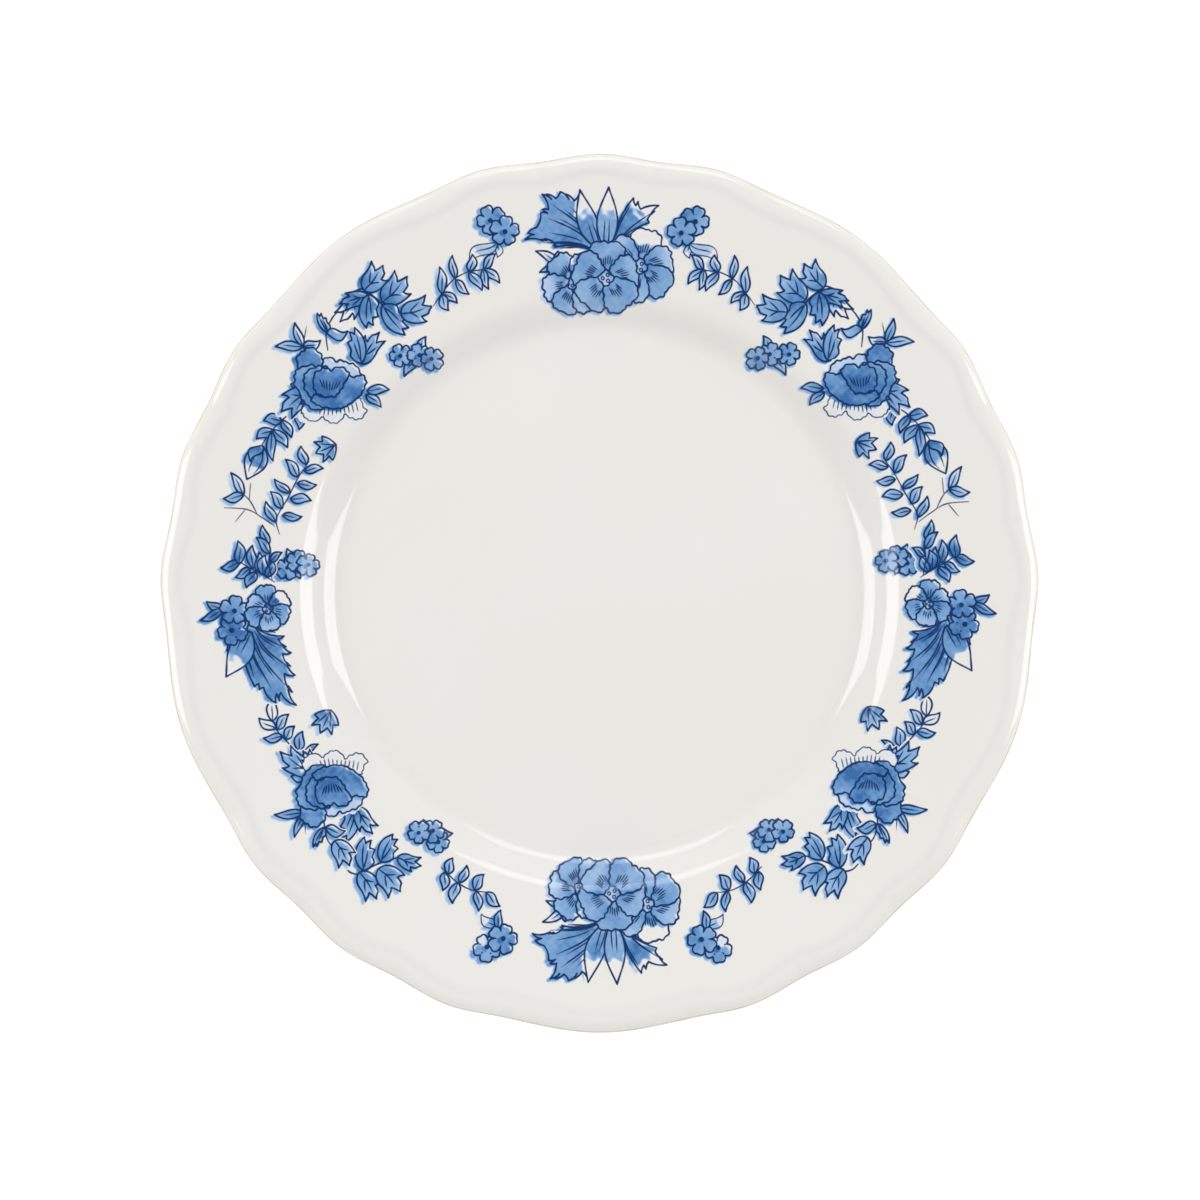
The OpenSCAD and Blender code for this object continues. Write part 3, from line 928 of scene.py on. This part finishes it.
def laid(marks, way):  # a mirrored copy of a spray, a little turned about the middle of the print
    flip, turn, shift = printLay[way]
    middle, turn = np.array(printLay["middle"]), math.radians(turn)
    spin = np.array([[math.cos(turn), -math.sin(turn)], [math.sin(turn), math.cos(turn)]])
    turned = []
    for mark in marks:
        copy = dict(mark)
        for name in ("points", "root", "tip"):
            if name in mark:
                copy[name] = middle + shift + ((mark[name] - middle) * flip) @ spin.T
        turned.append(copy)
    return turned


def makeFilm(name, marks, seed, rise):  # a thin closed film that carries the ink in two attributes
    spots = np.vstack([mark["points"] for mark in marks])
    facing = math.atan2(*spots.mean(axis=0))
    turned = np.angle(np.exp(1j * (np.arctan2(spots[:, 0], spots[:, 1]) - facing)))
    reach = np.hypot(*spots.T)
    margin = brush["margin"]
    lowR, highR = reach.min() - margin, reach.max() + margin
    lowA, highA = turned.min() - margin / 95, turned.max() + margin / 95
    columns = int((highA - lowA) * (lowR + highR) / 2 / brush["pitch"])
    rows = int((highR - lowR) / brush["pitch"])
    shape = bmesh.new()
    bmesh.ops.create_grid(shape, x_segments=columns, y_segments=rows, size=0.5)
    grid = np.array([v.co for v in shape.verts]) + 0.5
    angle = facing + lowA + grid[:, 0] * (highA - lowA)
    radius = lowR + grid[:, 1] * (highR - lowR)
    x, y = radius * np.sin(angle), radius * np.cos(angle)
    wash, past, inked = paintMarks(marks, x, y, seed)
    z = surfaceHeight(x, y) + brush["lift"] + rise
    washLayer = shape.verts.layers.float.new("wash")
    pastLayer = shape.verts.layers.float.new("pastLine")
    for v, row in zip(shape.verts, np.column_stack([x, y, z, wash, past]).tolist()):
        v.co = row[:3]
        v[washLayer], v[pastLayer] = row[3:]
    bare = [f for f in shape.faces if not any(inked[v.index] for v in f.verts)]
    bmesh.ops.delete(shape, geom=bare, context="FACES")
    top = bmesh.ops.extrude_face_region(shape, geom=shape.faces[:])["geom"]
    bmesh.ops.translate(shape, verts=[v for v in top if isinstance(v, bmesh.types.BMVert)],
                        vec=(0, 0, -brush["lift"] - rise - brush["sink"]))
    bmesh.ops.recalc_face_normals(shape, faces=shape.faces)
    mesh = bpy.data.meshes.new(name)
    shape.to_mesh(mesh)
    shape.free()
    finishMesh(mesh, 40)
    return mesh


# ---- the sprays of the right half: each row is a kind of drawing and what it is given, back to front
sprays = {
    "bouquet": [
        ("pairs", [(-3.6, 100.6), (-6.6, 102), (-8.4, 104.6)], [((-6.4, 102), (-10.6, 107.6)),
         ((-6.6, 102.2), (-6.9, 106.6)), ((-6.2, 101.6), (-10.6, 101))], 2.8, (0.3, 0.04)),
        ("frond", (0.2, 105.4), [(-7.4, 107.8), (-8.8, 110.8), (-11.9, 111.6), (-8.8, 118.8),
         (-8.2, 124.3), (-5.6, 124.4), (-2.9, 123.6)], [0.12, 0.12, 0.05, 0.12, 0.09, 0.14],
         (0.95, 0.7), 0.1),
        ("spear", (-0.2, 107), (-2.8, 124.6), 5.2, (0.8, 0.02), -0.16),
        ("frond", (2.2, 106.8), [(4.9, 122.4), (8.7, 121), (7.6, 115.4)], [0.16, 0.16],
         (0.85, 0.02, 0.76), -0.08, False),
        ("spear", (1.1, 107), (1.3, 125.2), 5.4, (0.62, 0.02)),
        ("bloom", (7.0, 101.8), 11.0, 14, (0.8, 0.4), (0,)),
        ("bloom", (-4.6, 96.2), 9.6, -38, (0.8, 0.3), (1,)),
        ("bloom", (1.2, 97.6), 10.6, 2, (0.74, 0.5), (), 5)],
    "crown": [
        ("frond", (93.8, 107.8), [(104.4, 109.8), (108, 105.2), (109.6, 99.6), (104.4, 97),
         (100.2, 96.6), (97, 97.8)], [0.1, 0.14, 0.24, 0.24, 0.24], (1.0, 0.75), -0.12),
        ("spear", (95, 109.6), (97.9, 115.7), 3.4, (0.6, 0.02)),
        ("spear", (95.4, 108.2), (101.8, 117.5), 6.4, (0.8, 0.02), 0.1),
        ("oval", (91.6, 115.4), (90.3, 120.4), 2.6, (0.8, 0.7)),
        ("oval", (91.6, 115.4), (93, 122.6), 2.7, (0.95, 0.8)),
        ("flower", (94.9, 113.4), 4.7, 30, (0.95, 0.85)),
        ("flower", (91.9, 112), 4.5, -8, (0.95, 0.6)),
        ("bloom", (91.9, 101.9), 7.0, 5, (0.9, 0.4), (5,))],
    "side_sprig": [
        ("pairs", [(87.2, 99.6), (85.9, 103.6), (84.9, 107.6), (84, 110.8)],
         [((84.2, 110.6), (85.2, 116.2)), ((84.4, 110.6), (80.8, 111.8)), ((85, 107.2), (86.6, 111.6)),
         ((85.6, 105.4), (88.2, 108.2)), ((85, 106.4), (81.2, 107.2)), ((85.5, 104.8), (82.2, 105)),
         ((86, 103.4), (82.6, 103)), ((86.4, 102), (83.4, 100.6))], 3.0, (0.95, 0.6)),
        ("pairs", [(86.8, 100.4), (84, 101.6), (81.4, 101.8), (79.4, 103.2)],
         [((80.8, 102.4), (77.6, 105.2)), ((82.2, 101.6), (79.8, 106.4)),
         ((83.6, 101.4), (81.8, 98))], 2.6, (0.85, 0.5))],
    "twigs": [
        ("stem", [(77.4, 101.4), (76.4, 105.6), (75.6, 110.6), (76.1, 117.6)], 0.4),
        ("stem", [(75.8, 111.4), (77.9, 113.5)], 0.34),
        ("stem", [(76, 107.4), (74.2, 110.4), (73.4, 113)], 0.4),
        ("stem", [(74, 110.8), (71.4, 111.8)], 0.34),
        ("oval", (73.5, 112.8), (70.8, 118.4), 2.8, (0.4, 0.2), -0.1),
        ("oval", (73.5, 112.8), (74.8, 118.5), 3, (0.7, 0.4), 0.12),
        ("pairs", [(78.6, 99.6), (76, 101.4), (72, 99.6), (68, 98.6), (64.5, 97.4)],
         [((76.6, 101.4), (73.6, 105.8)), ((74, 100.4), (71.8, 105.2)), ((71, 99.4), (69.6, 105.2)),
         ((67.8, 98.6), (65.8, 104.2)), ((65.2, 97.8), (62.6, 101.6)), ((75.2, 99.8), (74.6, 94)),
         ((72, 98.8), (71.2, 92.6)), ((69, 98.2), (68, 92.6)),
         ((66.4, 97.6), (64.6, 92.6))], 2.8, (0.7, 0.4))],
    "leaf_sprig": [
        ("stem", [(119, 102.4), (117, 105), (114.4, 106.8), (111, 108.2), (107.2, 105.6)]),
        ("oval", (112, 108), (109.4, 111.6), 3.2, (0.1, 0.06), 0.14),
        ("oval", (113.6, 107.2), (112.6, 112.6), 2.8, (0.7, 0.42), 0.14),
        ("oval", (110.6, 108.2), (107.2, 105), 3.4, (0.05, 0.03), 0.14),
        ("oval", (112.2, 107.8), (110.6, 102.8), 2.9, (0.5, 0.3), 0.14),
        ("oval", (114.2, 106.8), (112.9, 102.6), 2.9, (0.6, 0.36), 0.14),
        ("oval", (117, 104.8), (114.3, 101), 3.2, (0.75, 0.45), 0.14),
        ("oval", (117.9, 103.6), (117.6, 98.6), 1.8, (0.7, 0.42), 0.14)],
    "bud_fern": [
        ("pairs", [(56.6, 107), (59.4, 109.8), (62, 111.4), (64.4, 112.4), (66.6, 112.8)],
         [((57.6, 107.6), (60.2, 104.4)), ((60.2, 110.4), (61.6, 115.2)), ((60.2, 110.4), (62, 105.4)),
         ((62.2, 111.4), (64.6, 114.8)), ((62.2, 111.4), (63.8, 105.2)),
         ((62.6, 111.6), (66.8, 107.6))], 3.2, (0.85, 0.55)),
        ("bud", (65.2, 112.2), (71, 113.2), 7)],
    "posy_upper": [
        ("oval", (14.4, 111.6), (15.1, 107.2), 2.6, (0.3, 0.04), 0.2, 0.5, "thin"),
        ("oval", (14.4, 111.4), (19.8, 107.2), 4, (0.35, 0.03), -0.45, 0.7, "thin"),
        ("pairs",
         [(15.2, 108.2), (17.6, 105.2), (20.6, 106), (23.5, 105.4), (26.4, 103), (28.4, 101.2)],
         [((17.8, 105), (15.2, 108.4)), ((20.2, 105.8), (18.8, 110.4)), ((22.9, 105.6), (21.8, 112.4)),
         ((26, 103.2), (24.4, 110.8)), ((17.7, 105.2), (16, 99.6)), ((18, 105.2), (18.2, 98.8)),
         ((20.3, 105.8), (19.4, 99.2)), ((22.9, 105.2), (21.8, 99.6)), ((25.8, 103.4), (24.4, 98.6)),
         ((26.2, 103), (26.4, 97.8))], 2.7, (0.66, 0.2)),
        ("flower", (14.5, 118.5), 4.6, 20, (0.8, 0.6)),
        ("flower", (12.8, 114.1), 4.6, -8, (0.75, 0.65))],
    "posy_lower": [
        ("oval", (162.2, 109), (159, 106.6), 3.4, (0.5, 0.1), 0.2, 0.5, "thin"),
        ("oval", (162.3, 109.4), (161.9, 103.6), 2.6, (0.8, 0.6)),
        ("pairs", [(149.4, 98.6), (153, 100.4), (156, 100.8), (159, 99.6)],
         [((150.3, 99.4), (151.5, 104.6)), ((153.2, 100.4), (153.9, 106.8)),
         ((156.8, 100.6), (158.4, 106)), ((158.6, 99.8), (161.6, 102.6)), ((151, 99.4), (150.4, 94.4)),
         ((153.6, 100.2), (153.4, 94.6)), ((156.4, 100.4), (157, 95))], 3, (0.7, 0.42)),
        ("flower", (161.5, 115.6), 4.4, 174, (0.7, 0.1)),
        ("flower", (163.6, 111.7), 4.7, 196, (0.85, 0.6))],
    "branch_upper": [
        ("toothed", (44.6, 100.8), (38.7, 104.4), -6, (0.85, 0.5)),
        ("curled", (44.6, 101), (41.2, 110.2), 7, (0.8, 0.5)),
        ("stem", [(46.8, 111.2), (44.9, 115.2), (42.8, 116.9), (40.9, 117.3)], 0.5),
        ("curled", (44.7, 114.6), (43.8, 121.2), -3.8, (0.85, 0.6)),
        ("oval", (44.9, 115), (42.4, 110.8), 3.4, (0.7, 0.5), -0.3, 0),
        ("stem", [(31, 103), (33.4, 104.4), (35.2, 108.4), (35.5, 112), (36.1, 116), (36.6, 118),
         (38.5, 119)], 0.62),
        ("toothed", (36.9, 117.6), (42.2, 114.2), -6, (0.3, 0.02)),
        ("toothed", (36.3, 114.5), (40.4, 118.8), 5, (0.9, 0.7)),
        ("toothed", (36.3, 117), (31.8, 119.4), 7.4, (0.85, 0.4)),
        ("toothed", (35.1, 110.8), (29.6, 112.6), 8.4, (0.85, 0.5)),
        ("curled", (36.1, 115), (39.8, 107.7), 8, (0.9, 0.65)),
        ("curled", (35.4, 110), (35.4, 98.6), 8.6, (0.9, 0.6)),
        ("toothed", (33.8, 104.6), (28.6, 101), 7.8, (0.75, 0.5))],
    "branch_lower": [
        ("curled", (130.6, 100.4), (133.8, 110), -7, (0.8, 0.5)),
        ("toothed", (130.8, 100.2), (136, 102.8), 5.6, (0.85, 0.5)),
        ("stem", [(136.2, 115.8), (137.6, 115.8), (138.8, 114.2), (139.6, 110), (141.2, 105),
         (143.4, 101)], 0.6),
        ("toothed", (138.6, 114), (143.2, 117), -6.6, (0.7, 0.45)),
        ("toothed", (140.6, 109.6), (145.6, 111), -8.2, (0.75, 0.5)),
        ("curled", (138.9, 112.8), (135.4, 105), -8, (0.85, 0.6)),
        ("curled", (140.2, 107.4), (138.8, 98.6), -7.6, (0.8, 0.55)),
        ("toothed", (142, 103.2), (146.2, 101.6), 5, (0.85, 0.6))],
    "rose_upper": [
        ("twig", (50.2, 112), (48.9, 117.6), [((47, 124.2), 2.6, (0.8, 0.4), 0.1), ((51.4, 124.2), 3.0,
         (0.6, 0.4), -0.1), ((46.4, 114.8), 3.0, (0.6, 0.1), -0.2)], (46.2, 120.9)),
        ("oval", (47.6, 94), (44.5, 89.2), 3, (0.8, 0.5)),
        ("oval", (48.2, 93.5), (48.2, 87.6), 2.8, (0.8, 0.5)),
        ("oval", (53.2, 109.4), (54.6, 113.8), 3.6, (0.75, 0.6), 0.1, 0),
        ("toothed", (53.4, 107.2), (59, 112.2), 7.6, (0.85, 0.6)),
        ("toothed", (53.8, 105.4), (57.6, 106.4), 4, (0.85, 0.6)),
        ("rose", (50.7, 103), 11, -6)],
    "rose_lower": [
        ("twig", (124.6, 109.6), (125.9, 113.6), [((123.5, 121.3), 2.8, (0.8, 0.5), 0.1),
         ((127.9, 120.6), 2.2, (0.6, 0.5), -0.1), ((128.4, 111.8), 3.0, (0.7, 0.5), -0.2)],
         (128.6, 117.4)),
        ("stem", [(127.6, 108.6), (129.8, 111.8), (131.6, 113.6), (133.6, 114)]),
        ("curled", (129.7, 111.8), (130.8, 118.2), 3.8, (0.8, 0.5)),
        ("oval", (129.9, 111.6), (132.4, 107.8), 3.4, (0.75, 0.6), -0.2),
        ("toothed", (132.4, 112.2), (136.8, 114.2), -6.6, (0.6, 0.5)),
        ("oval", (121.4, 107), (120, 110.6), 3, (0.6, 0.4), 0.1, 0),
        ("toothed", (121.6, 104.4), (115.8, 110.2), -7, (0.8, 0.5)),
        ("toothed", (121, 102.4), (117.4, 103.8), -4, (0.8, 0.5)),
        ("rose", (125.8, 101.6), 11, 186, -1)],
    "inner_posy_upper": [
        ("posy", [(38.5, 94.5), (35.5, 91), (34, 88)], [(32.5, 94.5), (40.5, 89)], 20)],
    "inner_posy_side": [
        ("posy", [(84.5, 96), (83.3, 93), (83.6, 89.6)], [(81, 96.6), (86.4, 91.8)], 60)],
    "inner_posy_lower": [
        ("posy", [(146.5, 92.4), (144.4, 90.4), (142.4, 93.4)], [(141.6, 89.4), (148, 88)], 110)],
    "fan_leaf_upper": [
        ("stem", [(59.4, 92.4), (62.6, 96.6)], 0.5),
        ("fan", (59.4, 92.4), (62.6, 96.6), 8, (0.85, 0.3))],
    "fan_leaf_lower": [
        ("stem", [(113, 90.4), (116, 96.4)], 0.5),
        ("fan", (113, 90.4), (116, 96.4), 8, (0.85, 0.3))],
}


def addSprays():
    ink = makeGlaze("cobaltUnderGlaze", printed=True)
    films = {}
    for name, rows in sprays.items():
        here, there, way = "_right", "_left", "left"
        if name == "bouquet":
            here, there, way = "_top", "_bottom", "low"
        films[name + here] = drawSpray(rows)
        films[name + there] = laid(films[name + here], way)
    count = 0
    for seed, (node, marks) in enumerate(films.items()):
        words = node.split("_")
        name = words[0] + "".join(word.capitalize() for word in words[1:])
        mesh = makeFilm(name, marks, seed, 0.004 * (seed % 8))
        addPiece(name, mesh, ink, node)
        count += len(mesh.polygons)
    print(len(films), "films of cobalt,", count, "faces")


addSprays()
